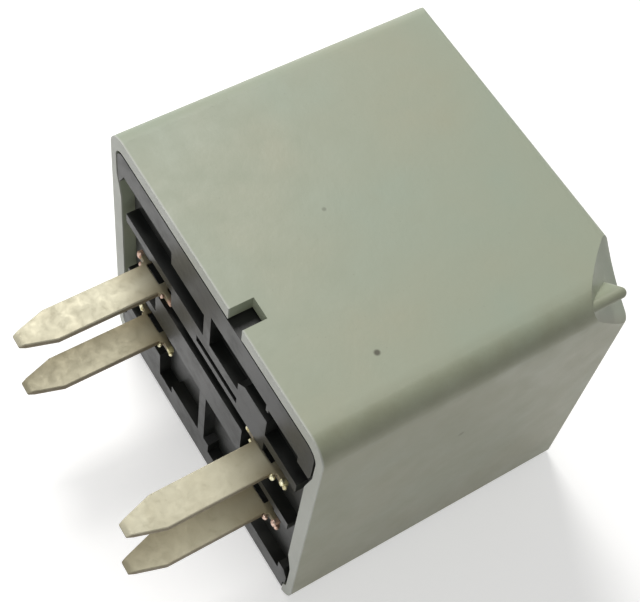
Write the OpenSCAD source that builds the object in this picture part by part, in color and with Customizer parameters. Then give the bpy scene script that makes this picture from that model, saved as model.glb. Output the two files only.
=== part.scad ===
// Plug-in automotive relay with four blade terminals, lying on one side.
// X runs across the terminal pairs, Y along the blades with the closed end
// of the cover at +Y, and Z is up. All sizes are in millimetres.

/* [Cover] */
// Width of the cover, across the terminal pairs
cover_w = 28; // [27.6:0.1:34]
// Height of the cover above the side it lies on
cover_h = 28; // [27.2:0.1:34]
// Length of the cover, from its open rim to its closed end
cover_len = 25.6; // [25.2:0.1:32]
// Thickness of the cover's walls
cover_wall = 1.25; // [1.0:0.05:1.4]
// Radius of the four long outer edges
edge_r = 1.8; // [1.0:0.1:2.6]
// Radius of the outer edges round the closed end
end_r = 0.8; // [0.4:0.1:1.4]
// Wall left where the side walls are relieved beside the rim's corners
corner_wall = 0.7; // [0.5:0.05:0.9]
// Depth of the corner reliefs, from the rim
relief_len = 2.6; // [1.4:0.1:3]
// Radius of the reliefs' corners
relief_r = 1.2; // [1:0.1:1.5]
// Radius of the hollow's long corners
hollow_r = 0.9; // [0.6:0.1:1.1]
// Width of the notch in the rim of the upper wall
notch_w = 1.75; // [1:0.05:4]
// Length of the notch, from the rim
notch_len = 1.85; // [1:0.05:3]
// Distance of the notch's centre from the middle of the cover
notch_x = 3.1; // [-6:0.1:6]
// Distance from the square corner at which the keying cut meets each edge
key_cut = 5.1; // [3:0.1:6]
// Depth to which the keying cut is hollowed below a flat facet
key_hollow = 0.4; // [0.2:0.05:0.8]
// Thickness of the rib that crosses the keying cut
key_rib_t = 0.8; // [0.5:0.05:1.5]
// Distance of the rib's end from the closed end
key_rib_setback = 1.3; // [0.5:0.05:2]

/* [Base] */
// Gap between the base and the cover's walls
fit_gap = 0.2; // [0.1:0.05:0.3]
// Depth of the base, from the rim to its inner face
base_depth = 3.5; // [3:0.1:4.2]
// Depth of the moulded relief in the face of the base
relief_d = 1.0; // [0.8:0.05:1.2]
// Height of the upper band of the base
band_h = 2.4; // [1.5:0.1:3]
// Extra height of the upper band in its stepped stretch
band_step = 1.5; // [0.5:0.1:1.8]
// Length of the upper band before its step
band_run = 7.3; // [5:0.1:9]
// Height of the lower band of the base
lower_band_h = 3.5; // [2:0.1:4]
// Height of the webs above the blade rows
web_h = 1.0; // [0.6:0.1:1.4]
// Distance of the web above the middle of its blade row
web_rise = 2.6; // [1.8:0.1:2.8]
// Thickness of the upright cross ribs
cross_rib_t = 0.9; // [0.5:0.1:1.5]
// Width of the raised pad
pad_w = 3.7; // [2:0.1:4]
// Height of the raised pad
pad_h = 4.7; // [3:0.1:5.6]
// Height of the lip under the base that shows below the cover's rim
lip_h = 0.65; // [0.3:0.05:0.9]
// Thickness of that lip, from the rim
lip_t = 1.3; // [0.8:0.1:2]
// Reach of the latch lugs beyond the sides of the base
latch_h = 0.4; // [0.3:0.05:0.5]
// Width of the latch lugs
latch_w = 6; // [4:0.1:8]

/* [Terminals] */
// Width of a blade
blade_w = 2.7; // [2.3:0.05:3]
// Thickness of a blade
blade_t = 0.6; // [0.5:0.05:0.8]
// Reach of the blades beyond the rim
blade_reach = 10.9; // [8:0.1:14]
// Length of the tapered tip of a blade
taper_len = 2.7; // [1.5:0.1:4]
// Width of a blade at its tip
tip_w = 1.05; // [0.8:0.05:1.6]
// Length of the bevel that thins the tip
bevel_len = 0.45; // [0.2:0.05:1]
// Distance between the blade columns, across the relay
column_pitch = 16.2; // [15.8:0.1:17]
// Distance between the blade rows, up the relay
row_pitch = 7.55; // [7:0.05:8]
// Height of the lower blade row above the cover's lower face
lower_row_z = 8.65; // [8.2:0.05:9.2]
// Reach of the sheared tie-bar stubs beyond each edge of a blade
stub_reach = 1.2; // [0.6:0.1:1.6]
// Length of the tie-bar stubs along the blade
stub_len = 0.45; // [0.3:0.05:0.5]
// Width of the anchoring hole in a blade's root
hole_w = 1.9; // [1.2:0.1:2]
// Distance of that hole from the blade's left edge
hole_edge = 0.15; // [0.1:0.05:0.25]
// Height of the coil posts above the inner face of the base
post_h = 5; // [4:0.1:6]
// Width of the coil posts
post_w = 1.1; // [0.8:0.05:1.4]

/* [Coil] */
// Gap between the bobbin's flanges and the contact riser beside them
riser_gap = 0.55; // [0.3:0.05:0.8]
// Thickness of the flanges
flange_t = 0.9; // [0.6:0.1:1.2]
// Reach of the flanges beyond the winding
flange_lip = 0.5; // [0.3:0.05:0.8]
// Wall of the bobbin's tube
tube_wall = 0.8; // [0.5:0.05:1]
// Thickness of the tape round the winding
tape_t = 0.2; // [0.1:0.05:0.3]
// Diameter of the core
core_d = 5; // [4:0.1:5.4]
// Diameter of the pole face
pole_d = 8.4; // [7:0.1:9]
// Thickness of the pole face
pole_t = 1; // [0.8:0.1:1.4]
// Diameter of the coil wire's ends
lead_d = 0.3; // [0.2:0.05:0.4]

/* [Switch] */
// Thickness of the yoke
yoke_t = 1.5; // [1.2:0.05:1.6]
// Gap between the yoke and the bobbin's flanges
yoke_gap = 0.3; // [0.2:0.05:0.6]
// Gap between the yoke and the wrapped end of a coil lead
wrap_gap = 0.15; // [0.1:0.05:0.5]
// Thickness of the armature
armature_t = 1.2; // [1:0.05:1.4]
// Angle by which the armature stands open
open_angle = 4.2; // [3:0.1:4.6]
// Thickness of the contact spring
spring_t = 0.25; // [0.15:0.05:0.3]
// Width of the contact spring
spring_w = 6; // [4:0.1:7]
// Length of the spring's leg below the armature's pivot
spring_leg = 6.2; // [5:0.1:7]
// Diameter of the contacts
contact_d = 3; // [2:0.1:3.2]
// Height of each contact's button
contact_h = 0.9; // [0.6:0.05:1]
// Thickness of the back stop's strip
stop_t = 0.6; // [0.4:0.05:0.7]
// Width of the back stop's strip
stop_w = 4; // [3:0.1:5]
// Gap between the back stop's strip and the side wall of the cover
stop_gap = 1.05; // [0.5:0.05:1.2]
// Gap between the back stop and the closed end of the cover
headroom = 0.95; // [0.5:0.05:1.5]

/* [Hidden] */
$fn = 64;

slip = 0.05;           // clearance round a pin, a strip or a shank in its hole
air = 0.1;             // running clearance between moving and fixed parts
past = 1;              // how far a cut runs past the face it opens

// Cover and base
half_w = cover_w / 2;
rim_y = (blade_reach - cover_len) / 2;
end_y = rim_y + cover_len;
inner_x = half_w - cover_wall;
corner_x = half_w - corner_wall;
ceiling_z = cover_h - cover_wall;
base_x = inner_x - fit_gap;
base_top = ceiling_z - fit_gap;
floor_y = rim_y + relief_d;
stub_y = rim_y + 0.1;
hole_y = rim_y + 0.2;
seat_y = rim_y + base_depth;
latch_y = (floor_y + seat_y) / 2;

// Blade rows and columns, and the mouldings that follow them
upper_row_z = lower_row_z + row_pitch;
left_x = -column_pitch / 2;
right_x = column_pitch / 2;
upper_web_z = upper_row_z + web_rise;
lower_web_z = lower_row_z + web_rise;
web_x = base_x - 0.55;
shoulder_high = upper_web_z + web_h + 1.2;
shoulder_low = lower_row_z - 0.8;
wide_high = shoulder_high + 2.4;
wide_low = shoulder_low - 2;
ear_x = corner_x - fit_gap;
ear_len = relief_len - fit_gap;
ear_r = relief_r - fit_gap;
lip_x = corner_x - 0.4;
base_low = cover_wall + fit_gap;
lower_band_top = lip_h + lower_band_h;
pad_x = right_x - blade_w / 2 - 2.6;
pad_z = upper_web_z - 1.9;

// Keying cut: a ball that meets the three edges at key_cut from the corner
key_depth = key_cut / sqrt(3) + key_hollow;
key_shift = (key_cut ^ 2 - key_depth ^ 2) / (2 * sqrt(3) * key_depth - 2 * key_cut);
key_ball_r = key_depth + sqrt(3) * key_shift;

// Coil, between the contact risers and above the yoke's foot
flange_half = right_x - blade_w / 2 - riser_gap;
winding_d = 2 * (flange_half - flange_lip);
tape_r = winding_d / 2 + tape_t;
lead_r = lead_d / 2;
wrap_r = norm([post_w, blade_t]) / 2 + slip / 2 + lead_r;
coil_z = lower_row_z + tape_r + lead_r + slip;
foot_top = seat_y + yoke_t;
tube_r = core_d / 2 + slip + tube_wall;

// Switch across the relay, from the cover's side wall inwards
stop_x = inner_x - stop_gap - stop_t;
spring_end = stop_x - 6 * slip;
arm_end = spring_end - air;
contact_x = spring_end - 6 * slip - contact_d / 2;
armature_end = contact_x - contact_d / 2 - 0.7;
arm_x = right_x - blade_w / 2;

// Yoke, whose leg has a rounded top that is the armature's pivot
yoke_w = 2 * (coil_z - lower_row_z - wrap_r - lead_r - wrap_gap);
leg_x = -flange_half - yoke_gap - yoke_t;
pivot_x = leg_x + yoke_t / 2;
foot_end = flange_half - 1;
joint_z = coil_z;

// Rivets and studs
rivet_r = 0.6;
rivet_head_r = 1;
rivet_head_h = 0.35;
rivet_x = -flange_half + 0.8;
rivet_pitch = spring_w / 3;
stud_r = 0.6;
stud_play = 0.2;
stop_seat = 1.5;

// Switch along the relay, from the closed end down to the pole
head_x = contact_x + rivet_head_r - pivot_x;
head_y = yoke_t / 2 + air + armature_t + spring_t + rivet_head_h;
stop_y = end_y - cover_wall - headroom - stop_t;
pivot_y = stop_y - slip - head_x * sin(open_angle) - head_y * cos(open_angle);
pole_y = pivot_y + yoke_t / 2;
bobbin_len = pole_y - pole_t - foot_top;
winding_y = foot_top + flange_t + slip;
winding_len = bobbin_len - 2 * flange_t - 2 * slip;
lead_y = winding_y + 1.6;
stud_y = pivot_y - 0.6 * spring_leg;

// Switch as it stands when closed
armature_y = pole_y + air;
spring_y = armature_y + armature_t;
heel_x = leg_x + air;
heel_r = 0.9;
spring_leg_x = leg_x - slip - spring_t;
spring_leg_y = pivot_y - spring_leg;
moving_face_y = spring_y - contact_h;
fixed_face_y = moving_face_y - air;
arm_top = fixed_face_y - contact_h;

// Bend of the contact spring, between its upright leg and its opened leaf
bend_r = 1;
bend_x = spring_leg_x + bend_r;
bend_rise = spring_y + spring_t - bend_r - pivot_y + (bend_x - pivot_x) * sin(open_angle);
bend_y = pivot_y + bend_rise / cos(open_angle);

// A box given by its span along each axis
module block(x, y, z) {
    translate([x[0], y[0], z[0]]) cube([x[1] - x[0], y[1] - y[0], z[1] - z[0]]);
}

// A disc or rod along +Y from a point
module rod_y(x, y, z, r, len) {
    translate([x, y, z]) rotate([-90, 0, 0]) cylinder(r = r, h = len);
}

// A plane outline in X and Y, given a height in Z
module plan(z, h) {
    translate([0, 0, z]) linear_extrude(h) children();
}

// A plane outline in Y and Z, carried along X
module along_x(x, len) {
    translate([x, 0, 0]) rotate([90, 0, 90]) linear_extrude(len) children();
}

// A plane outline in X and Z, carried along Y
module along_y(y, len) {
    translate([0, y + len, 0]) rotate([90, 0, 0]) linear_extrude(len) children();
}

// A rectangle from the origin with its listed corners rounded
module round_rect(w, h, r, corners = [[0, 0], [1, 0], [0, 1], [1, 1]]) {
    difference() {
        square([w, h]);
        for (c = corners) translate([c.x * w, c.y * h]) difference() {
            square(2 * r, center = true);
            translate([(1 - 2 * c.x) * r, (1 - 2 * c.y) * r]) circle(r);
        }
    }
}

// Outer form of the cover, before the cuts
module cover_form() {
    intersection() {
        along_y(rim_y, cover_len)
            translate([-half_w, 0]) round_rect(cover_w, cover_h, edge_r);
        along_x(-half_w, cover_w)
            translate([rim_y, 0]) round_rect(cover_len, cover_h, end_r, [[1, 0], [1, 1]]);
        plan(0, cover_h)
            translate([-half_w, rim_y]) round_rect(cover_w, cover_len, end_r, [[0, 1], [1, 1]]);
    }
}

// Ball of the keying cut at the upper corner of the closed end
module key_ball(r) {
    translate([half_w + key_shift, end_y + key_shift, cover_h + key_shift]) sphere(r, $fn = 96);
}

// Rib that runs along the long edge across the keying cut
module key_rib() {
    rib_r = key_rib_t / 2;
    crest = edge_r - rib_r - slip;
    start_y = end_y - key_cut - past;
    rib_len = end_y - key_rib_setback - rib_r - start_y;
    translate([half_w - edge_r, start_y, cover_h - edge_r]) rotate([0, 45, 0]) {
        rotate([-90, 0, 0]) translate([0, -crest, 0]) cylinder(r = rib_r, h = rib_len);
        translate([0, rib_len, crest]) sphere(rib_r);
        translate([-rib_r, 0, -key_cut / 2]) cube([key_rib_t, rib_len, key_cut / 2 + crest]);
        translate([0, rib_len, -key_cut / 2]) cylinder(r = rib_r, h = key_cut / 2 + crest);
    }
}

// Hollow of the cover, wider beside the rim's corners
module cover_hollow() {
    hollow_h = ceiling_z - cover_wall;
    difference() {
        along_y(rim_y - past, cover_len - cover_wall + past)
            translate([-inner_x, cover_wall]) round_rect(2 * inner_x, hollow_h, hollow_r);
        key_ball(key_ball_r + cover_wall);
    }
    along_y(rim_y - past, relief_len + past) intersection() {
        translate([-corner_x, cover_wall]) round_rect(2 * corner_x, hollow_h, relief_r);
        for (side = [-1, 1]) {
            polygon([
                [side * (inner_x - 1), shoulder_high], [side * inner_x, shoulder_high],
                [side * corner_x, wide_high], [side * half_w, wide_high],
                [side * half_w, cover_h], [side * (inner_x - 1), cover_h]
            ]);
            polygon([
                [side * (inner_x - 1), shoulder_low], [side * inner_x, shoulder_low],
                [side * corner_x, wide_low], [side * half_w, wide_low],
                [side * half_w, 0], [side * (inner_x - 1), 0]
            ]);
        }
    }
}

// Pockets that the base's latch lugs snap into
module latch_pockets() {
    for (side = [-1, 1])
        block([side * inner_x - latch_h - slip, side * inner_x + latch_h + slip],
              [latch_y - 0.9, latch_y + 0.9], [coil_z - latch_w / 2 - air, coil_z + latch_w / 2 + air]);
}

module cover() {
    color([0.62, 0.65, 0.56]) difference() {
        union() {
            difference() {
                cover_form();
                key_ball(key_ball_r);
            }
            key_rib();
        }
        cover_hollow();
        latch_pockets();
        // notch through the upper wall
        block([notch_x - notch_w / 2, notch_x + notch_w / 2],
              [rim_y - past, rim_y + notch_len], [ceiling_z - past, cover_h + past]);
        // relief in the lower wall for the lip of the base
        block([-lip_x, lip_x], [rim_y - past, rim_y + lip_t + slip], [-past, base_low + fit_gap]);
    }
}

// Outline of the base at the rim, with its rounded corners
module rim_outline() {
    translate([-ear_x, base_low]) round_rect(2 * ear_x, base_top - base_low, ear_r);
}

// Ears at the ends of the bands, which fill the cover's corner reliefs
module ears() {
    band_z = base_top - band_h;
    slope = (corner_x - inner_x) / (wide_high - shoulder_high);
    ear_z = band_z - band_step;
    along_y(rim_y, ear_len) intersection() {
        rim_outline();
        union() {
            polygon([
                [base_x - 1, ear_z], [base_x + slope * (ear_z - shoulder_high), ear_z],
                [ear_x, wide_high], [ear_x, base_top], [base_x - 1, base_top]
            ]);
            polygon([
                [1 - base_x, band_z], [-web_x - 0.2, band_z],
                [-base_x - slope * (ear_z - shoulder_high), ear_z + slip],
                [-ear_x, wide_high], [-ear_x, base_top], [1 - base_x, base_top]
            ]);
            for (side = [-1, 1]) polygon([
                [side * (web_x - 0.1), base_low], [side * ear_x, base_low],
                [side * ear_x, lower_band_top - 0.8], [side * (ear_x - 0.5), lower_band_top],
                [side * (web_x - 0.1), lower_band_top]
            ]);
        }
    }
}

// Raised mouldings on the face of the base, from the rim to the floor
module base_relief() {
    face = [rim_y, floor_y + slip];
    band_z = base_top - band_h;
    rib_x = [-cross_rib_t / 2 - 0.2, cross_rib_t / 2 - 0.2];
    pad_end = pad_x + pad_w;
    // upper band, stepped to the left of the cross rib and in its right half
    along_y(rim_y, relief_d + slip) intersection() {
        rim_outline();
        union() {
            translate([-base_x, band_z]) square([2 * base_x, band_h]);
            translate([-base_x + band_run, band_z - band_step])
                square([base_x - band_run + rib_x[1], band_h + band_step]);
            translate([rib_x[1] - slip, band_z - 0.4]) square([pad_end - rib_x[1] + slip, band_h + 0.4]);
            translate([pad_end - slip, band_z - 0.75]) square([base_x - pad_end, band_h + 0.75]);
            translate([pad_end - 0.3, band_z - 1.2]) square([0.3, band_h]);
        }
    }
    // webs above the two blade rows
    block([-web_x, pad_end], face, [upper_web_z, upper_web_z + web_h]);
    block([pad_end - slip, web_x], face, [upper_web_z - 0.45, upper_web_z + web_h - 0.25]);
    block([-web_x, web_x], face, [lower_web_z, lower_web_z + web_h]);
    // upright cross ribs
    block(rib_x, face, [upper_web_z, base_top - slip]);
    block(rib_x, face, [lip_h, lower_web_z + web_h]);
    // plateau under the upper web, with a groove beside the pad
    difference() {
        block([left_x + 2.9, pad_x], face, [pad_z, upper_web_z + slip]);
        block([-1.5, pad_x + past], [rim_y - past, rim_y + relief_d / 2],
              [pad_z + 0.75, upper_web_z - 0.35]);
    }
    // raised pad with a cut corner
    along_y(rim_y, relief_d + slip) polygon([
        [pad_x, pad_z], [pad_end, pad_z], [pad_end, pad_z + pad_h],
        [pad_x + 0.8, pad_z + pad_h], [pad_x, pad_z + pad_h - 0.8]
    ]);
    // centre slab between the blade rows
    block([left_x + 0.5, right_x - 2.9], face, [lower_web_z, upper_row_z - 1.1]);
    // lower band, higher at its middle and its left end
    block([-base_x, base_x], face, [base_low, lower_band_top - 1.2]);
    block([left_x + 3.2, 1], face, [base_low, lower_band_top]);
    block([-base_x, left_x + 1.2], face, [base_low, lower_band_top + 2]);
    // lip that fills the relief in the cover's lower wall
    block([air - lip_x, lip_x - air], [rim_y, rim_y + lip_t], [lip_h, base_low + 0.6]);
}

// Window above a blade's root, and the slot that holds the terminal
module terminal_cut(x, z) {
    half = blade_w / 2 + slip;
    block([x - half, x + half], [floor_y, floor_y + 1.2], [z, z + web_rise - 0.5]);
    block([x - half, x + half], [rim_y - past, seat_y + past],
          [z - blade_t / 2 - slip, z + blade_t / 2 + slip]);
}

// Peg on a small shelf, which fills the anchoring hole of a blade's root
module anchor_peg(x, z) {
    start_x = x - blade_w / 2 + hole_edge;
    peg_x = [start_x + slip, start_x + hole_w - slip];
    low = z - blade_t / 2 - slip;
    block(peg_x, [hole_y + slip, floor_y + slip], [low - 0.5, low]);
    block(peg_x, [hole_y + slip, floor_y - slip], [low - slip, z + blade_t / 2 - 0.12]);
}

module base() {
    color([0.2, 0.21, 0.2]) {
        for (x = [left_x, right_x], z = [lower_row_z, upper_row_z]) anchor_peg(x, z);
        base_plate();
    }
}

// Moulded plate of the base, with its windows and slots
module base_plate() {
    difference() {
        union() {
            along_y(floor_y, seat_y - floor_y) translate([-base_x, base_low])
                round_rect(2 * base_x, base_top - base_low, hollow_r - fit_gap / 2);
            base_relief();
            ears();
            // wedge lugs that snap into the cover
            for (side = [-1, 1]) plan(coil_z - latch_w / 2, latch_w) polygon([
                [side * (base_x - 1), latch_y - 0.8], [side * base_x, latch_y - 0.8],
                [side * (base_x + fit_gap + latch_h), latch_y - 0.8],
                [side * (base_x + fit_gap + latch_h), latch_y - 0.3],
                [side * base_x, latch_y + 0.8], [side * (base_x - 1), latch_y + 0.8]
            ]);
        }
        for (x = [left_x, right_x], z = [lower_row_z, upper_row_z]) terminal_cut(x, z);
        // seat of the back stop
        block([stop_x - slip, stop_x + stop_t + slip], [seat_y - stop_seat, seat_y + past],
              [joint_z - stop_w / 2 - slip, joint_z + stop_w / 2 + slip]);
    }
}

// Blade with its tie-bar stubs, from its tip to the inner face of the base
module blade(x, z) {
    half = blade_w / 2;
    low = z - blade_t / 2;
    high = z + blade_t / 2;
    tip_y = rim_y - blade_reach;
    difference() {
        union() {
            intersection() {
                plan(low, blade_t) polygon([
                    [x - half, seat_y], [x - half, tip_y + taper_len], [x - tip_w / 2, tip_y],
                    [x + tip_w / 2, tip_y], [x + half, tip_y + taper_len], [x + half, seat_y]
                ]);
                along_x(x - half, blade_w) polygon([
                    [seat_y, low], [tip_y + bevel_len, low], [tip_y, z - blade_t / 5],
                    [tip_y, z + blade_t / 5], [tip_y + bevel_len, high], [seat_y, high]
                ]);
            }
            // stubs, and the burrs where the blade's edges were sheared
            block([x - half - stub_reach, x + half + stub_reach], [stub_y, stub_y + stub_len],
                  [low, high]);
            block([x - half - 0.2, x + half + 0.2], [rim_y - 0.15, stub_y + slip], [low, high]);
        }
        block([x - half + hole_edge, x - half + hole_edge + hole_w], [hole_y, floor_y],
              [low - past, high + past]);
    }
}

// Coil post on the inner end of a terminal
module coil_post(x, z) {
    block([x - post_w / 2, x + post_w / 2], [seat_y - past, seat_y + post_h],
          [z - blade_t / 2, z + blade_t / 2]);
}

module terminal_common() {
    color([0.72, 0.69, 0.58]) blade(left_x, upper_row_z);
}

module terminal_normally_open() {
    low = lower_row_z - blade_t / 2;
    color([0.72, 0.69, 0.58]) {
        blade(right_x, lower_row_z);
        // riser beside the coil, and the arm bent over towards the contacts
        block([arm_x, right_x + blade_w / 2], [seat_y - past, arm_top], [low, low + blade_t]);
        block([arm_x, arm_end], [arm_top - blade_t, arm_top],
              [low, joint_z + contact_d / 2 + 0.4]);
    }
}

module terminal_coil_a() {
    color([0.72, 0.69, 0.58]) {
        blade(right_x, upper_row_z);
        coil_post(right_x, upper_row_z);
    }
}

module terminal_coil_b() {
    color([0.72, 0.69, 0.58]) {
        blade(left_x, lower_row_z);
        coil_post(left_x, lower_row_z);
    }
}

module bobbin() {
    half = flange_half;
    color([0.9, 0.88, 0.8]) difference() {
        union() {
            rod_y(0, foot_top, coil_z, tube_r, bobbin_len);
            for (y = [foot_top, foot_top + bobbin_len - flange_t])
                block([-half, half], [y, y + flange_t], [coil_z - half, coil_z + half]);
        }
        rod_y(0, foot_top - past, coil_z, core_d / 2 + slip, bobbin_len + 2 * past);
    }
}

module coil_winding() {
    color([0.6, 0.32, 0.18]) difference() {
        rod_y(0, winding_y, coil_z, winding_d / 2, winding_len);
        rod_y(0, winding_y - past, coil_z, tube_r + slip, winding_len + 2 * past);
    }
}

module winding_tape() {
    color([0.85, 0.72, 0.3]) difference() {
        rod_y(0, winding_y, coil_z, tape_r, winding_len);
        rod_y(0, winding_y - past, coil_z, winding_d / 2 + slip / 5, winding_len + 2 * past);
    }
}

module core() {
    color([0.6, 0.6, 0.62]) {
        rod_y(0, seat_y, coil_z, core_d / 2 - 0.5, yoke_t + past);
        rod_y(0, foot_top, coil_z, core_d / 2, bobbin_len + pole_t);
        rod_y(0, pole_y - pole_t, coil_z, pole_d / 2, pole_t);
    }
}

module yoke() {
    half = yoke_w / 2;
    color([0.66, 0.66, 0.68]) difference() {
        union() {
            block([leg_x, foot_end], [seat_y, foot_top], [coil_z - half, coil_z + half]);
            block([leg_x, leg_x + yoke_t], [seat_y, pivot_y], [coil_z - half, coil_z + half]);
            translate([pivot_x, pivot_y, coil_z - half]) cylinder(r = yoke_t / 2, h = yoke_w);
        }
        rod_y(0, seat_y - past, coil_z, core_d / 2 - 0.5 + slip, yoke_t + 2 * past);
        studs(stud_r + slip, leg_x - past, yoke_t + 2 * past);
    }
}

// Pair of studs through the yoke's leg and the spring's leg
module studs(r, x, len) {
    for (side = [-1, 1])
        translate([x, stud_y, joint_z + side * rivet_pitch / 2]) rotate([0, 90, 0])
            cylinder(r = r, h = len);
}

// Pair of rivet shanks through the armature and the spring
module shanks(r, y, len) {
    for (side = [-1, 1]) rod_y(rivet_x, y, joint_z + side * rivet_pitch / 2, r, len);
}

// Points along an arc about a centre, from one angle to another
function arc(centre, r, from, to) =
    [for (i = [0:12]) centre + r * [cos(from + (to - from) * i / 12), sin(from + (to - from) * i / 12)]];

// Where a point of the closed switch goes as it opens
function opened_point(p) = [
    pivot_x + (p.x - pivot_x) * cos(open_angle) - (p.y - pivot_y) * sin(open_angle),
    pivot_y + (p.x - pivot_x) * sin(open_angle) + (p.y - pivot_y) * cos(open_angle)
];

// Turns the closed switch about the yoke's rounded top to where it stands open
module opened() {
    translate([pivot_x, pivot_y, 0]) rotate([0, 0, open_angle])
        translate([-pivot_x, -pivot_y, 0]) children();
}

module armature() {
    half = yoke_w / 2;
    color([0.66, 0.66, 0.68]) opened() difference() {
        plan(joint_z - half, yoke_w) translate([heel_x, armature_y])
            round_rect(armature_end - heel_x, armature_t, heel_r, [[0, 1]]);
        shanks(rivet_r + slip, armature_y - past, armature_t + 2 * past);
    }
}

module contact_spring() {
    bend = [bend_x, bend_y];
    inner_r = bend_r - spring_t;
    color([0.78, 0.52, 0.3]) difference() {
        // leg on the yoke's back, bend over the heel, and leaf on the armature
        plan(joint_z - spring_w / 2, spring_w) polygon([
            [spring_leg_x, spring_leg_y], each arc(bend, bend_r, 180, 90 + open_angle),
            opened_point([spring_end, spring_y + spring_t]), opened_point([spring_end, spring_y]),
            each arc(bend, inner_r, 90 + open_angle, 180), [spring_leg_x + spring_t, spring_leg_y]
        ]);
        studs(stud_r + stud_play, spring_leg_x - past, spring_t + 2 * past);
        opened() {
            shanks(rivet_r + slip, spring_y - past, spring_t + 2 * past);
            rod_y(contact_x, spring_y - past, joint_z, rivet_r + slip, spring_t + 2 * past);
        }
    }
}

module moving_contact() {
    color([0.86, 0.86, 0.84]) opened() {
        rod_y(contact_x, moving_face_y, joint_z, contact_d / 2, contact_h);
        rod_y(contact_x, spring_y, joint_z, rivet_r, spring_t);
        rod_y(contact_x, spring_y + spring_t, joint_z, rivet_head_r, rivet_head_h);
    }
}

module fixed_contact() {
    color([0.86, 0.86, 0.84]) rod_y(contact_x, arm_top, joint_z, contact_d / 2, contact_h);
}

module back_stop() {
    z = [joint_z - stop_w / 2, joint_z + stop_w / 2];
    color([0.7, 0.68, 0.5]) {
        block([stop_x, stop_x + stop_t], [seat_y - stop_seat, stop_y + stop_t], z);
        block([contact_x - rivet_head_r, stop_x + stop_t], [stop_y, stop_y + stop_t], z);
    }
}

// Coil lead wrapped once round its post, with a straight run to the winding
module coil_lead(x, z, run_from, run_to, run_z) {
    color([0.7, 0.4, 0.2]) {
        translate([x, lead_y, z]) rotate([-90, 0, 0]) rotate_extrude()
            translate([wrap_r, 0]) circle(lead_r, $fn = 24);
        translate([run_from, lead_y, run_z]) rotate([0, 90, 0])
            cylinder(r = lead_r, h = run_to - run_from, $fn = 24);
    }
}

module coil_lead_a() {
    meet = sqrt(tape_r ^ 2 - (abs(upper_row_z - coil_z) - lead_r) ^ 2);
    coil_lead(right_x, upper_row_z, meet + slip, right_x - wrap_r, upper_row_z);
}

module coil_lead_b() {
    coil_lead(left_x, lower_row_z, left_x + wrap_r, 0, lower_row_z);
}

module armature_rivets() {
    color([0.75, 0.75, 0.72]) opened() {
        shanks(rivet_r, armature_y + slip, armature_t + spring_t - slip);
        shanks(rivet_head_r, spring_y + spring_t, rivet_head_h);
    }
}

module spring_studs() {
    color([0.75, 0.75, 0.72]) studs(stud_r, spring_leg_x - 0.1, leg_x + yoke_t - spring_leg_x);
}

cover();
base();
terminal_common();
terminal_normally_open();
terminal_coil_a();
terminal_coil_b();
bobbin();
coil_winding();
winding_tape();
core();
yoke();
armature();
contact_spring();
moving_contact();
fixed_contact();
back_stop();
coil_lead_a();
coil_lead_b();
armature_rivets();
spring_studs();
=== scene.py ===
import bpy, bmesh, math
from mathutils import Matrix, Vector


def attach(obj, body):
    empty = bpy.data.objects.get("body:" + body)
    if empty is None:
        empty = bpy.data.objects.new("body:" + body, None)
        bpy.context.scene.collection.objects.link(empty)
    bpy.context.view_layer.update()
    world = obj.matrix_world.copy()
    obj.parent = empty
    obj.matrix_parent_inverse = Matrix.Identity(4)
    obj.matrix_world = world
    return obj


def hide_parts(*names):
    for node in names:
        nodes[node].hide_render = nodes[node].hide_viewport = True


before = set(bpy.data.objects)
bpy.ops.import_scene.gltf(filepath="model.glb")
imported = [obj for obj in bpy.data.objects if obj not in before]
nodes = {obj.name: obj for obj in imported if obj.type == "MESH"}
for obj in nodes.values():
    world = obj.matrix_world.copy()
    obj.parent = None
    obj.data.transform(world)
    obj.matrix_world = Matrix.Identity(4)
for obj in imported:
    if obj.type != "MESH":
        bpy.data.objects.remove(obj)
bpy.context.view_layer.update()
mm = 0.001
print("relay: frame loaded,", len(nodes), "nodes")


def newMaterial(name, colour, roughness=0.5, metallic=0.0):
    mat = bpy.data.materials.new(name)
    mat.use_nodes = True
    shader = mat.node_tree.nodes["Principled BSDF"]
    shader.inputs["Base Color"].default_value = (*colour, 1)
    shader.inputs["Roughness"].default_value = roughness
    shader.inputs["Metallic"].default_value = metallic
    return mat, mat.node_tree, shader


def addNode(tree, kind, values=None, **settings):
    node = tree.nodes.new(kind)
    for key, value in settings.items():
        setattr(node, key, value)
    for key, value in (values or {}).items():
        if isinstance(value, bpy.types.NodeSocket):
            tree.links.new(value, node.inputs[key])
        else:
            node.inputs[key].default_value = value
    return node


def objectCoords(tree):
    return addNode(tree, "ShaderNodeTexCoord").outputs["Object"]


def noise(tree, coords, scale, detail=3.0, rough=0.55, distortion=0.0):
    # scale is in features per millimetre
    node = addNode(tree, "ShaderNodeTexNoise", {"Vector": coords, "Scale": scale / mm, "Detail": detail,
                                                "Roughness": rough, "Distortion": distortion})
    return node.outputs["Fac"]


def ramp(tree, fac, low, high, outLow=0.0, outHigh=1.0):
    node = addNode(tree, "ShaderNodeMapRange", {0: fac, 1: low, 2: high, 3: outLow, 4: outHigh})
    return node.outputs[0]


def reach(tree, length, low, high, outLow=0.0, outHigh=1.0):
    # a ramp with its limits in millimetres
    return ramp(tree, length, low * mm, high * mm, outLow, outHigh)


def calc(tree, operation, a, b=0.0):
    return addNode(tree, "ShaderNodeMath", {0: a, 1: b}, operation=operation).outputs[0]


def mixColour(tree, fac, a, b):
    node = addNode(tree, "ShaderNodeMix", data_type="RGBA")
    for index, value in ((0, fac), (6, a), (7, b)):
        if isinstance(value, bpy.types.NodeSocket):
            tree.links.new(value, node.inputs[index])
        else:
            node.inputs[index].default_value = (*value, 1) if isinstance(value, tuple) else value
    return node.outputs[2]


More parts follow.
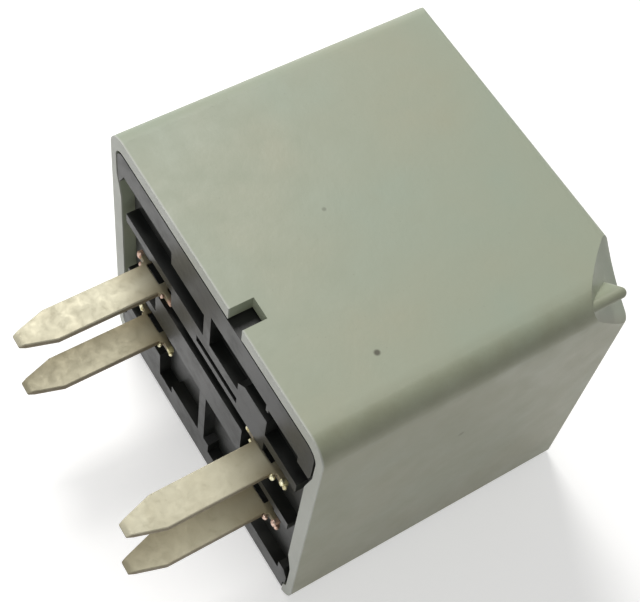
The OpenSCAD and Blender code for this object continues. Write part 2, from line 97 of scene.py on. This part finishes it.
def axisOf(tree, coords, axis):
    split = addNode(tree, "ShaderNodeSeparateXYZ", {0: coords})
    return split.outputs[axis]


def spot(tree, coords, place, radius):
    # 1 in the inner half of a small round spot, fading out to its edge
    away = addNode(tree, "ShaderNodeVectorMath", {0: coords, 1: Vector(place) * mm}, operation="DISTANCE")
    return reach(tree, away.outputs["Value"], radius, radius / 2)


def varyRoughness(tree, shader, fac, base, spread):
    # spread: the factor's limits, then how far below and above the base value
    low, high, less, more = spread
    tree.links.new(ramp(tree, fac, low, high, base - less, base + more), shader.inputs["Roughness"])


def bump(tree, shader, height, strength, distance):
    node = addNode(tree, "ShaderNodeBump", {"Height": height, "Strength": strength, "Distance": distance * mm})
    tree.links.new(node.outputs[0], shader.inputs["Normal"])


# in every material's dictionary: a Noise is (features per mm, detail, roughness, distortion),
# a Mask is (low, high, out low, out high) of a noise, a Reach is the same of a place in mm
coverPlastic = {
    "colour": (0.352, 0.388, 0.292), "warm": (0.372, 0.390, 0.286), "cool": (0.342, 0.398, 0.308),
    "broadNoise": (0.08, 2.0), "broadMask": (0.36, 0.64),
    "mottleNoise": (0.45, 5.0, 0.6), "mottleMask": (0.35, 0.7, 0.0, 0.6),
    "dirt": (0.19, 0.185, 0.13), "dirtNoise": (4.0, 2.0, 0.7), "dirtMask": (0.66, 0.80, 0.0, 0.30),
    "sideTone": (0.345, 0.325, 0.235), "sideReach": (13.3, 13.99, 0.0, 0.62),
    "sideNoise": (0.7, 6.0, 0.65), "sideMask": (0.25, 0.75, 0.75, 1.0),
    # painted shade on the rounded long edge between the top and the +X side
    "shadedEdgeTone": (0.235, 0.245, 0.165), "shadedEdgeAt": (14, 28), "shadedEdgeReach": (2.6, 0.9),
    "shadedEdgeNoise": (0.5, 4.0, 0.6), "shadedEdgeMask": (0.3, 0.7, 0.5, 0.9),
    # painted reflection on the front rim face
    "rimReflectionTone": (0.50, 0.52, 0.475), "rimReflectionReach": (-7.18, -7.33),
    "speckTone": (0.055, 0.05, 0.03),
    # place, radius, strength
    "specks": [((9.4, -0.65, 28), 0.28, 0.85), ((-1.4, 2.05, 28), 0.20, 0.40), ((14, 4.9, 18.5), 0.32, 0.30)],
    "roughness": 0.46, "roughSpread": (0.3, 0.7, 0.05, 0.08),
    "grainNoise": (2.6, 3.0, 0.6), "waveNoise": (0.30, 2.0), "waveShare": 3.0,
    "bumpStrength": 0.30, "bumpDepth": 0.03,
}


def makeCoverPlastic(s):
    mat, tree, shader = newMaterial("coverPlastic", s["colour"], s["roughness"])
    coords = objectCoords(tree)
    x, y, z = (axisOf(tree, coords, axis) for axis in range(3))
    broad = ramp(tree, noise(tree, coords, *s["broadNoise"]), *s["broadMask"])
    colour = mixColour(tree, broad, s["cool"], s["warm"])
    mottle = noise(tree, coords, *s["mottleNoise"])
    colour = mixColour(tree, ramp(tree, mottle, *s["mottleMask"]), colour, s["colour"])
    fine = ramp(tree, noise(tree, coords, *s["dirtNoise"]), *s["dirtMask"])
    colour = mixColour(tree, fine, colour, s["dirt"])
    # browner, darker tone on the +X side face, broken up by noise
    sideTone = calc(tree, "MULTIPLY", reach(tree, x, *s["sideReach"]),
                ramp(tree, noise(tree, coords, *s["sideNoise"]), *s["sideMask"]))
    colour = mixColour(tree, sideTone, colour, s["sideTone"])
    # painted shade along the rounded long edge between the top and the +X side, broken up by noise
    sideX, topZ = s["shadedEdgeAt"]
    toEdge = calc(tree, "ADD", calc(tree, "SUBTRACT", sideX * mm, x), calc(tree, "SUBTRACT", topZ * mm, z))
    shadedEdge = calc(tree, "MULTIPLY", reach(tree, toEdge, *s["shadedEdgeReach"]),
                ramp(tree, noise(tree, coords, *s["shadedEdgeNoise"]), *s["shadedEdgeMask"]))
    colour = mixColour(tree, shadedEdge, colour, s["shadedEdgeTone"])
    # painted reflection of the pale floor: the front rim face paler and cooler
    colour = mixColour(tree, reach(tree, y, *s["rimReflectionReach"]), colour, s["rimReflectionTone"])
    for place, radius, strength in s["specks"]:
        speck = calc(tree, "MULTIPLY", spot(tree, coords, place, radius), strength)
        colour = mixColour(tree, speck, colour, s["speckTone"])
    tree.links.new(colour, shader.inputs["Base Color"])
    varyRoughness(tree, shader, mottle, s["roughness"], s["roughSpread"])
    height = calc(tree, "ADD", noise(tree, coords, *s["grainNoise"]),
                  calc(tree, "MULTIPLY", noise(tree, coords, *s["waveNoise"]), s["waveShare"]))
    bump(tree, shader, height, s["bumpStrength"], s["bumpDepth"])
    return mat


basePlastic = {
    "colour": (0.0075, 0.0085, 0.0072), "dust": (0.036, 0.038, 0.032),
    "dustNoise": (0.6, 5.0, 0.6), "dustMask": (0.45, 0.80, 0.0, 0.40),
    "roughness": 0.40, "roughSpread": (0.0, 0.35, 0.0, 0.15),
    "grainNoise": (2.2, 4.0, 0.6), "bumpStrength": 0.25, "bumpDepth": 0.02,
}


def makeBasePlastic(s):
    mat, tree, shader = newMaterial("basePlastic", s["colour"], s["roughness"])
    coords = objectCoords(tree)
    haze = ramp(tree, noise(tree, coords, *s["dustNoise"]), *s["dustMask"])
    tree.links.new(mixColour(tree, haze, s["colour"], s["dust"]), shader.inputs["Base Color"])
    varyRoughness(tree, shader, haze, s["roughness"], s["roughSpread"])
    bump(tree, shader, noise(tree, coords, *s["grainNoise"]), s["bumpStrength"], s["bumpDepth"])
    return mat


bladePlating = {
    "colour": (0.50, 0.47, 0.345), "bright": (0.53, 0.505, 0.38),
    "patchNoise": (0.40, 4.0, 0.55, 0.3), "patchMask": (0.36, 0.66),
    "tarnish": (0.37, 0.335, 0.225), "smearNoise": (1.1, 5.0, 0.6, 0.5), "smearMask": (0.56, 0.80, 0.0, 0.40),
    # painted shadow of the upper blades on the lower pair, darkest along their -X edges
    "columnX": 8.1, "lowerShadowTone": (0.185, 0.162, 0.095), "lowerShadowReach": (11.0, 10.0),
    "shadowAcrossReach": (-1.2, 1.3, 0.95, 0.35),
    # painted shade on the blades next to the body, stronger towards their edges
    "root": (0.27, 0.225, 0.13), "rootReach": (-10.5, -7.6), "rootAcross": (0.2, 1.35, 0.25, 0.8),
    "edge": (0.15, 0.115, 0.06), "edgeSlope": (0.45, 0.25), "edgeShare": 0.85,
    "shearedReach": (2.35, 2.65), "shearedRagged": 0.6,
    "roughness": 0.52, "metallic": 0.35, "roughSpread": (0.3, 0.75, 0.08, 0.14),
    "grainNoise": (3.5, 3.0, 0.6), "rippleNoise": (0.7, 3.0, 0.6, 0.8), "rippleShare": 2.0,
    "bumpStrength": 0.25, "bumpDepth": 0.02,
    "bareCopper": (0.62, 0.40, 0.29), "bareBrass": (0.66, 0.60, 0.32),
}


def makePlating(name, s, bare):
    # dull tin plate; bare metal shows where the sheet was sheared
    mat, tree, shader = newMaterial(name, s["colour"], s["roughness"], s["metallic"])
    coords = objectCoords(tree)
    x, y, z = (axisOf(tree, coords, axis) for axis in range(3))
    patches = ramp(tree, noise(tree, coords, *s["patchNoise"]), *s["patchMask"])
    colour = mixColour(tree, patches, s["bright"], s["colour"])
    smear = noise(tree, coords, *s["smearNoise"])
    colour = mixColour(tree, ramp(tree, smear, *s["smearMask"]), colour, s["tarnish"])
    # distance from the blade's middle line, with and without its sign
    off = calc(tree, "SUBTRACT", calc(tree, "ABSOLUTE", x), s["columnX"] * mm)
    away = calc(tree, "ABSOLUTE", off)
    across = calc(tree, "MULTIPLY", off, calc(tree, "SIGN", x))
    # painted shadow of the upper blades on the lower blades
    lower = calc(tree, "MULTIPLY", reach(tree, z, *s["lowerShadowReach"]), reach(tree, across, *s["shadowAcrossReach"]))
    colour = mixColour(tree, lower, colour, s["lowerShadowTone"])
    # painted shade on the blades next to the body, stronger towards their edges
    root = calc(tree, "MULTIPLY", reach(tree, y, *s["rootReach"]), reach(tree, away, *s["rootAcross"]))
    colour = mixColour(tree, root, colour, s["root"])
    normal = addNode(tree, "ShaderNodeNewGeometry").outputs["True Normal"]
    upright = calc(tree, "ABSOLUTE", axisOf(tree, normal, 2))
    onEdge = calc(tree, "MULTIPLY", ramp(tree, upright, *s["edgeSlope"]), s["edgeShare"])
    colour = mixColour(tree, onEdge, colour, s["edge"])
    # sheared ends of the stubs, beyond the blade's edges
    ragged = calc(tree, "ADD", away, calc(tree, "MULTIPLY", smear, s["shearedRagged"] * mm))
    colour = mixColour(tree, reach(tree, ragged, *s["shearedReach"]), colour, bare)
    tree.links.new(colour, shader.inputs["Base Color"])
    varyRoughness(tree, shader, smear, s["roughness"], s["roughSpread"])
    height = calc(tree, "ADD", noise(tree, coords, *s["grainNoise"]),
                  calc(tree, "MULTIPLY", noise(tree, coords, *s["rippleNoise"]), s["rippleShare"]))
    bump(tree, shader, height, s["bumpStrength"], s["bumpDepth"])
    return mat


# name, colour, roughness, metallic, grain in features per mm
innerFinishes = {
    "bobbin": ("bobbinNylon", (0.60, 0.57, 0.46), 0.45, 0.0, 1.2),
    "coil_winding": ("windingEnamel", (0.32, 0.10, 0.035), 0.3, 0.4, 3.0),
    "winding_tape": ("windingFilm", (0.55, 0.32, 0.03), 0.3, 0.0, 0.8),
    "core": ("platedIron", (0.50, 0.50, 0.50), 0.35, 1.0, 2.0),
    "contact_spring": ("springBronze", (0.62, 0.34, 0.17), 0.3, 1.0, 2.5),
    "moving_contact": ("contactSilver", (0.78, 0.77, 0.74), 0.28, 1.0, 3.0),
    "back_stop": ("stopBrass", (0.60, 0.46, 0.18), 0.32, 1.0, 2.5),
    "coil_lead_a": ("leadEnamel", (0.36, 0.12, 0.04), 0.3, 0.4, 3.0),
    "armature_rivets": ("rivetSteel", (0.55, 0.55, 0.54), 0.34, 1.0, 3.0),
}
sameFinish = {
    "yoke": "core", "armature": "core", "fixed_contact": "moving_contact",
    "coil_lead_b": "coil_lead_a", "spring_studs": "armature_rivets",
}
innerGrain = {
    "detail": 4.0, "rough": 0.6, "darker": 0.72, "mask": (0.35, 0.75), "roughSpread": (0.3, 0.7, 0.06, 0.1),
    "bumpFiner": 2.5, "bumpStrength": 0.25, "bumpDepth": 0.02,
}


def makeInnerFinish(name, colour, roughness, metallic, scale, s=innerGrain):
    mat, tree, shader = newMaterial(name, colour, roughness, metallic)
    coords = objectCoords(tree)
    grain = noise(tree, coords, scale, s["detail"], s["rough"])
    darker = tuple(c * s["darker"] for c in colour)
    tree.links.new(mixColour(tree, ramp(tree, grain, *s["mask"]), colour, darker), shader.inputs["Base Color"])
    varyRoughness(tree, shader, grain, roughness, s["roughSpread"])
    bump(tree, shader, noise(tree, coords, scale * s["bumpFiner"], 2.0), s["bumpStrength"], s["bumpDepth"])
    return mat


coverMat = makeCoverPlastic(coverPlastic)
baseMat = makeBasePlastic(basePlastic)
copperMat = makePlating("platedCopper", bladePlating, bladePlating["bareCopper"])
brassMat = makePlating("platedBrass", bladePlating, bladePlating["bareBrass"])
innerMats = {nodeName: makeInnerFinish(*finish) for nodeName, finish in innerFinishes.items()}
for nodeName, other in sameFinish.items():
    innerMats[nodeName] = innerMats[other]
for nodeName, material in innerMats.items():
    nodes[nodeName].data.materials.clear()
    nodes[nodeName].data.materials.append(material)
print("relay: materials made")


# visible pieces: the solid's own mesh, welded, with its small edges broken; edge is in mm
dressed = {
    "coverShell": {"node": "cover", "edge": 0.14, "material": coverMat, "slot": "cover_plastic"},
    "basePlate": {"node": "base", "edge": 0.07, "material": baseMat, "slot": "base_plastic"},
    "bladeCommon": {"node": "terminal_common", "edge": 0.09, "material": copperMat, "slot": "copper_blade"},
    "bladeNormallyOpen": {"node": "terminal_normally_open", "edge": 0.09, "material": copperMat,
                          "slot": "copper_blade"},
    "bladeCoilA": {"node": "terminal_coil_a", "edge": 0.09, "material": brassMat, "slot": "brass_blade"},
    "bladeCoilB": {"node": "terminal_coil_b", "edge": 0.09, "material": brassMat, "slot": "brass_blade"},
}
edges = {"weld": 1e-7, "flatWithin": 0.6, "segments": 2, "sharperThan": 32, "faceWeight": 90}


def dressNode(pieceName, piece, s=edges):
    mesh = nodes[piece["node"]].data.copy()
    mesh.name = pieceName
    obj = bpy.data.objects.new(pieceName, mesh)
    bpy.context.scene.collection.objects.link(obj)
    form = bmesh.new()
    form.from_mesh(mesh)
    bmesh.ops.remove_doubles(form, verts=form.verts, dist=s["weld"])
    bmesh.ops.dissolve_limit(form, angle_limit=math.radians(s["flatWithin"]), verts=form.verts, edges=form.edges)
    form.to_mesh(mesh)
    form.free()
    mesh.materials.clear()
    mesh.materials.append(piece["material"])
    mesh.shade_smooth()
    bevel = obj.modifiers.new("brokenEdges", "BEVEL")
    bevel.width = piece["edge"] * mm
    bevel.segments = s["segments"]
    bevel.limit_method = "ANGLE"
    bevel.angle_limit = math.radians(s["sharperThan"])
    bevel.use_clamp_overlap = True
    bevel.miter_outer = "MITER_ARC"
    normals = obj.modifiers.new("flatNormals", "WEIGHTED_NORMAL")
    normals.weight = s["faceWeight"]
    normals.keep_sharp = True
    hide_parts(piece["node"])
    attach(obj, "housing")


for pieceName, piece in dressed.items():
    dressNode(pieceName, piece)
print("relay: visible pieces dressed")


# torn burrs on the sheared stubs, one small lump of metal for each:
# a blade's middle at the rim, then places from it and half sizes, in mm
copperBurrs = {
    (-8.1, -7.35, 16.2): [
        ((-2.25, 0.26, 0.05), (0.36, 0.26, 0.30)), ((-1.50, -0.16, 0.16), (0.20, 0.16, 0.16)),
        ((2.40, 0.32, -0.05), (0.18, 0.20, 0.32)), ((1.62, -0.02, 0.02), (0.16, 0.20, 0.24))],
    (8.1, -7.35, 8.65): [
        ((1.58, -0.22, 0.02), (0.24, 0.22, 0.30)), ((2.30, 0.12, 0.06), (0.30, 0.26, 0.30)),
        ((2.58, 0.20, -0.20), (0.18, 0.18, 0.22)), ((-2.30, 0.28, 0.0), (0.28, 0.22, 0.28))],
}
brassBurrs = {
    (-8.1, -7.35, 8.65): [
        ((-2.00, 0.20, 0.10), (0.34, 0.20, 0.22)), ((1.55, -0.20, 0.0), (0.20, 0.18, 0.28)),
        ((2.30, 0.28, 0.02), (0.26, 0.20, 0.30)), ((2.54, 0.26, -0.22), (0.16, 0.18, 0.20))],
    (8.1, -7.35, 16.2): [
        ((-2.32, 0.22, 0.08), (0.36, 0.18, 0.24)), ((-1.46, -0.16, 0.14), (0.18, 0.14, 0.18)),
        ((1.54, -0.20, 0.02), (0.24, 0.20, 0.28)), ((2.25, 0.22, 0.06), (0.28, 0.24, 0.30)),
        ((2.56, 0.26, -0.18), (0.17, 0.18, 0.24))],
}
burrShape = {"seed": 7, "turn": 0.35, "roughen": 0.16, "grain": 1.6, "grainDetail": 3.0, "detail": 3}
burrMetal = {
    "copper": (0.86, 0.66, 0.56), "copperDark": (0.42, 0.22, 0.14),
    "brass": (0.90, 0.86, 0.60), "brassDark": (0.46, 0.38, 0.16),
    "roughness": 0.36, "metallic": 0.75, "roughSpread": (0.3, 0.7, 0.08, 0.14),
    "darkNoise": (3.0, 4.0, 0.6), "darkMask": (0.42, 0.66),
    "grainNoise": (6.0, 2.0), "bumpStrength": 0.3, "bumpDepth": 0.03,
}


def makeBareMetal(name, metal, s):
    colour, dark = s[metal], s[metal + "Dark"]
    mat, tree, shader = newMaterial(name, colour, s["roughness"], s["metallic"])
    coords = objectCoords(tree)
    grain = noise(tree, coords, *s["darkNoise"])
    tree.links.new(mixColour(tree, ramp(tree, grain, *s["darkMask"]), colour, dark), shader.inputs["Base Color"])
    varyRoughness(tree, shader, grain, s["roughness"], s["roughSpread"])
    bump(tree, shader, noise(tree, coords, *s["grainNoise"]), s["bumpStrength"], s["bumpDepth"])
    return mat


def burrTree(name, material, s):
    # lumps on points, each with its own half sizes and turn
    tree = bpy.data.node_groups.new(name, "GeometryNodeTree")
    face = tree.interface
    face.new_socket("Geometry", in_out="INPUT", socket_type="NodeSocketGeometry")
    for label, kind, value in (("Roughen", "NodeSocketFloat", s["roughen"]), ("Grain", "NodeSocketFloat", s["grain"]),
                               ("Seed", "NodeSocketInt", s["seed"]), ("Detail", "NodeSocketInt", s["detail"])):
        face.new_socket(label, in_out="INPUT", socket_type=kind).default_value = value
    face.new_socket("Geometry", in_out="OUTPUT", socket_type="NodeSocketGeometry")
    given = addNode(tree, "NodeGroupInput")
    points = addNode(tree, "GeometryNodeMeshToPoints", {"Mesh": given.outputs["Geometry"]})
    lump = addNode(tree, "GeometryNodeMeshIcoSphere", {"Radius": mm, "Subdivisions": given.outputs["Detail"]})
    sizes = addNode(tree, "GeometryNodeInputNamedAttribute", {"Name": "halfSize"}, data_type="FLOAT_VECTOR")
    turn = addNode(tree, "FunctionNodeRandomValue", {
        0: (-s["turn"],) * 3, 1: (s["turn"],) * 3, "Seed": given.outputs["Seed"]}, data_type="FLOAT_VECTOR")
    placed = addNode(tree, "GeometryNodeInstanceOnPoints", {
        "Points": points.outputs[0], "Instance": lump.outputs["Mesh"], "Rotation": turn.outputs[0],
        "Scale": sizes.outputs["Attribute"]})
    real = addNode(tree, "GeometryNodeRealizeInstances", {0: placed.outputs[0]})
    # the noise works in millimetres
    place = addNode(tree, "GeometryNodeInputPosition")
    scaled = addNode(tree, "ShaderNodeVectorMath", {0: place.outputs[0], 3: 1 / mm}, operation="SCALE")
    rough = addNode(tree, "ShaderNodeTexNoise", {
        "Vector": scaled.outputs[0], "Scale": given.outputs["Grain"], "Detail": s["grainDetail"]})
    swing = calc(tree, "MULTIPLY", calc(tree, "SUBTRACT", rough.outputs["Fac"], 0.5),
                 calc(tree, "MULTIPLY", given.outputs["Roughen"], 2 * mm))
    outside = addNode(tree, "GeometryNodeInputNormal").outputs[0]
    outward = addNode(tree, "ShaderNodeVectorMath", {0: outside, 3: swing}, operation="SCALE")
    moved = addNode(tree, "GeometryNodeSetPosition", {"Geometry": real.outputs[0], "Offset": outward.outputs[0]})
    smooth = addNode(tree, "GeometryNodeSetShadeSmooth", {"Geometry": moved.outputs[0]})
    finish = addNode(tree, "GeometryNodeSetMaterial", {"Geometry": smooth.outputs[0], "Material": material})
    result = addNode(tree, "NodeGroupOutput")
    tree.links.new(finish.outputs[0], result.inputs[0])
    return tree


def makeBurrs(name, burrs, material, s):
    places, sizes = [], []
    for middle, lumps in burrs.items():
        for offset, half in lumps:
            places.append(tuple((m + o) * mm for m, o in zip(middle, offset)))
            sizes.append(half)
    mesh = bpy.data.meshes.new(name + "Points")
    mesh.from_pydata(places, [], [])
    halfSize = mesh.attributes.new("halfSize", "FLOAT_VECTOR", "POINT")
    for index, half in enumerate(sizes):
        halfSize.data[index].vector = half
    grower = bpy.data.objects.new(name + "Points", mesh)
    bpy.context.scene.collection.objects.link(grower)
    growth = grower.modifiers.new("burrs", "NODES")
    growth.node_group = burrTree(name, material, s)
    for item in growth.node_group.interface.items_tree:
        if item.in_out == "INPUT" and item.name == "Seed":
            growth[item.identifier] = s["seed"]
    bpy.context.view_layer.update()
    grown = bpy.data.meshes.new_from_object(grower.evaluated_get(bpy.context.evaluated_depsgraph_get()))
    bpy.data.objects.remove(grower)
    grown.name = name
    piece = bpy.data.objects.new(name, grown)
    bpy.context.scene.collection.objects.link(piece)
    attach(piece, "housing")


copperBare = makeBareMetal("bareCopper", "copper", burrMetal)
brassBare = makeBareMetal("bareBrass", "brass", burrMetal)
makeBurrs("copperBurrs", copperBurrs, copperBare, burrShape)
makeBurrs("brassBurrs", brassBurrs, brassBare, burrShape)
print("relay: burrs grown")


# white where it is seen, while the object's shadow stays on it
floorLook = {"half": 0.8, "colour": (0.80, 0.80, 0.80), "roughness": 0.9, "specular": 0.1, "lift": 0.45}


def makeFloor(s):
    half = s["half"]
    mesh = bpy.data.meshes.new("floor")
    mesh.from_pydata([(-half, -half, 0), (half, -half, 0), (half, half, 0), (-half, half, 0)], [], [(0, 1, 2, 3)])
    floor = bpy.data.objects.new("floor", mesh)
    bpy.context.scene.collection.objects.link(floor)
    mat, tree, shader = newMaterial("paleFloor", s["colour"], s["roughness"])
    shader.inputs["Specular IOR Level"].default_value = s["specular"]
    path = addNode(tree, "ShaderNodeLightPath")
    seen = calc(tree, "MAXIMUM", calc(tree, "MAXIMUM", path.outputs["Is Camera Ray"], path.outputs["Is Glossy Ray"]),
                path.outputs["Is Transmission Ray"])
    lift = addNode(tree, "ShaderNodeEmission", {
        "Color": (1, 1, 1, 1), "Strength": calc(tree, "MULTIPLY", seen, s["lift"])})
    both = addNode(tree, "ShaderNodeAddShader", {0: shader.outputs[0], 1: lift.outputs[0]})
    tree.links.new(both.outputs[0], tree.nodes["Material Output"].inputs["Surface"])
    mesh.materials.append(mat)


lamps = {
    "keyLamp": {"place": (-0.45, 0.055, 0.60), "size": 0.34, "power": 4.1, "colour": (1.0, 0.985, 0.96)},
    "fillLamp": {"place": (0.16, -0.36, 0.12), "size": 0.30, "power": 0.20, "colour": (1.0, 0.97, 0.92)},
}
lampTarget = (0, 0.004, 0.012)


def makeLamp(name, s):
    light = bpy.data.lights.new(name, "AREA")
    light.shape = "DISK"
    light.size = s["size"]
    light.energy = s["power"]
    light.color = s["colour"]
    lamp = bpy.data.objects.new(name, light)
    bpy.context.scene.collection.objects.link(lamp)
    lamp.location = s["place"]
    lamp.rotation_mode = "QUATERNION"
    lamp.rotation_quaternion = (Vector(lampTarget) - Vector(s["place"])).to_track_quat("-Z", "Y")


# gloss sees white walls and a dimmer ceiling; soft light is dimmer again
air = {"softLevel": 0.30, "ceiling": 0.40, "wallsTo": 0.35, "ceilingFrom": 0.75}


def makeWorld(s):
    world = bpy.data.worlds.new("studioAir")
    bpy.context.scene.world = world
    world.use_nodes = True
    tree = world.node_tree
    background = tree.nodes["Background"]
    background.inputs["Color"].default_value = (1, 1, 1, 1)
    path = addNode(tree, "ShaderNodeLightPath")
    glossy = path.outputs["Is Glossy Ray"]
    height = axisOf(tree, addNode(tree, "ShaderNodeTexCoord").outputs["Generated"], 2)
    walls = ramp(tree, height, s["wallsTo"], s["ceilingFrom"], 1.0, s["ceiling"])
    plain = calc(tree, "MAXIMUM", path.outputs["Is Camera Ray"], path.outputs["Is Transmission Ray"])
    gloss = calc(tree, "MULTIPLY", glossy, walls)
    others = calc(tree, "SUBTRACT", 1.0, calc(tree, "MAXIMUM", plain, glossy))
    soft = calc(tree, "MULTIPLY", others, s["softLevel"])
    strength = calc(tree, "ADD", calc(tree, "ADD", plain, gloss), soft)
    tree.links.new(strength, background.inputs["Strength"])


makeFloor(floorLook)
for lampName, lampLook in lamps.items():
    makeLamp(lampName, lampLook)
makeWorld(air)

cameraPlace = {
    "place": (0.0381959, -0.0316173, 0.1051898), "lens": 78.303, "sensor": 36, "near": 0.005, "far": 20,
    "right": (0.520693, 0.847957, 0.099238), "up": (-0.765803, 0.412510, 0.493338),
    "back": (0.377392, -0.332874, 0.864158),
}
lens = bpy.data.cameras.new("camera")
lens.sensor_fit = "HORIZONTAL"
lens.sensor_width = cameraPlace["sensor"]
lens.lens = cameraPlace["lens"]
lens.clip_start = cameraPlace["near"]
lens.clip_end = cameraPlace["far"]
camera = bpy.data.objects.new("camera", lens)
bpy.context.scene.collection.objects.link(camera)
turn = Matrix((cameraPlace["right"], cameraPlace["up"], cameraPlace["back"])).transposed()
camera.matrix_world = Matrix.Translation(cameraPlace["place"]) @ turn.to_4x4()
bpy.context.scene.camera = camera
bpy.context.scene.view_settings.view_transform = "Standard"
print("relay: studio set")
